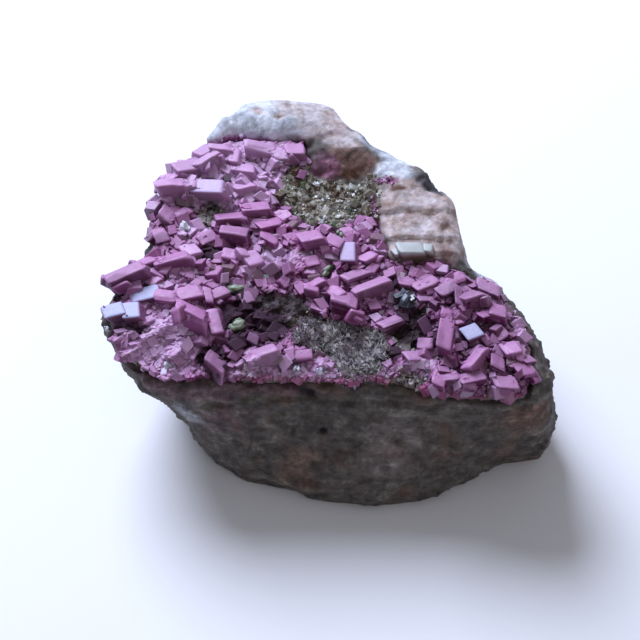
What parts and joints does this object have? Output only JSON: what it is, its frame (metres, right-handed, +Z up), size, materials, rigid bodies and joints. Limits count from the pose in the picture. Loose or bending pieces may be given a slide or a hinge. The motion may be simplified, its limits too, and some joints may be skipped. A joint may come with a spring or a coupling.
{
  "type": "salrose crystal specimen",
  "caption": "Hand specimen of salrose: magenta rhombohedral calcite crystals in a crust over a broken lump of grey and pale rock, standing on a flat base.",
  "frame": {"origin": "on the surface it rests on, under the middle of the lump's bounding box", "axes": "+X to the right along the crystal face, the longest way across; +Y from the broken front edge to the back; +Z up"},
  "size_m": [0.0591, 0.0514, 0.0259],
  "materials": {
    "matrix_rock": "broken, matt, grey-brown with pale bands",
    "cobaltoan_calcite": "glassy crystal faces, slightly translucent",
    "malachite": "dull, fine-grained green",
    "dark_ore": "dark, with small shiny faces"
  },
  "bodies": {
    "root": {"host_rock": "matrix_rock", "calcite_crust": "cobaltoan_calcite", "malachite_bead_1": "malachite", "malachite_bead_2": "malachite", "malachite_bead_3": "malachite", "malachite_bead_4": "malachite", "dark_ore_cluster": "dark_ore"}
  },
  "joints": []
}
